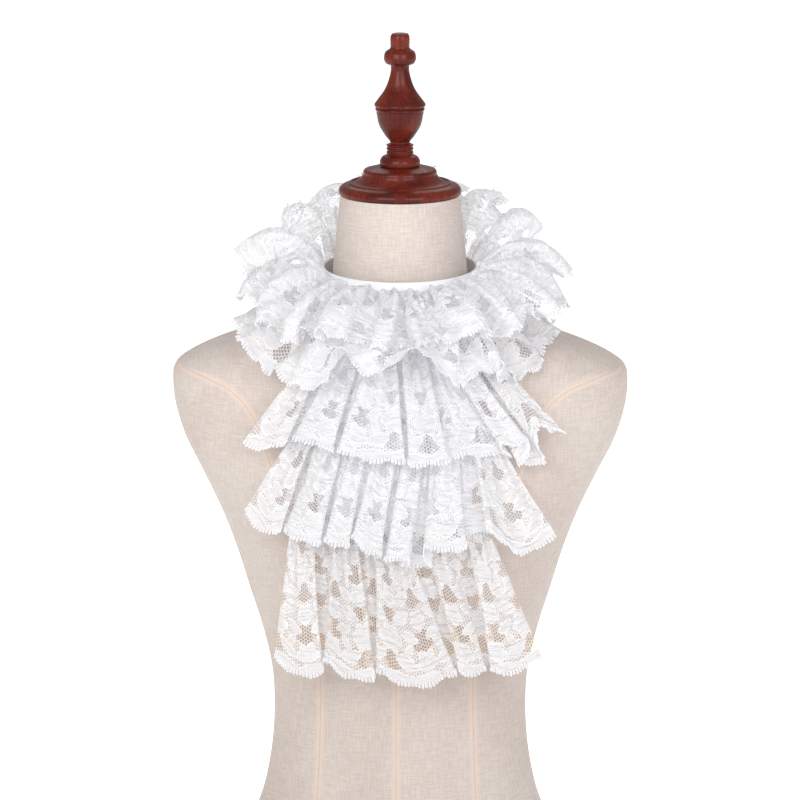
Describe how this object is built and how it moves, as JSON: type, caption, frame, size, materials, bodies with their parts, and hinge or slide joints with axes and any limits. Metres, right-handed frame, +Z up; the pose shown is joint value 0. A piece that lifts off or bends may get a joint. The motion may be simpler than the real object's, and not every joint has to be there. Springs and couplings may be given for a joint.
{
  "type": "lace jabot on a limbless dress form",
  "caption": "White lace jabot with a ruffled collar and a pleated tiered bib, worn by a linen dress form with a turned wooden neck cap and finial.",
  "frame": {"origin": "middle of the form's flat base, on the surface that it stands on", "axes": "+Z up, the form faces -Y, +X is to the right of someone who faces the form"},
  "size_m": [0.3968, 0.2609, 0.7005],
  "materials": {
    "linen": "natural linen, plain weave",
    "turned_wood": "dark reddish stain under satin varnish",
    "tape": "smooth white woven tape",
    "lace": "white floral galloon lace on a fine net"
  },
  "bodies": {
    "root": {"form_torso": "linen", "neck_cap": "turned_wood", "finial": "turned_wood", "neck_band": "tape", "band_fastening": "tape", "frill_upper": "lace", "frill_lower": "lace", "bib_backing": "tape", "bib_tier_upper": "lace", "bib_tier_middle": "lace", "bib_tier_lower": "lace"}
  },
  "joints": []
}
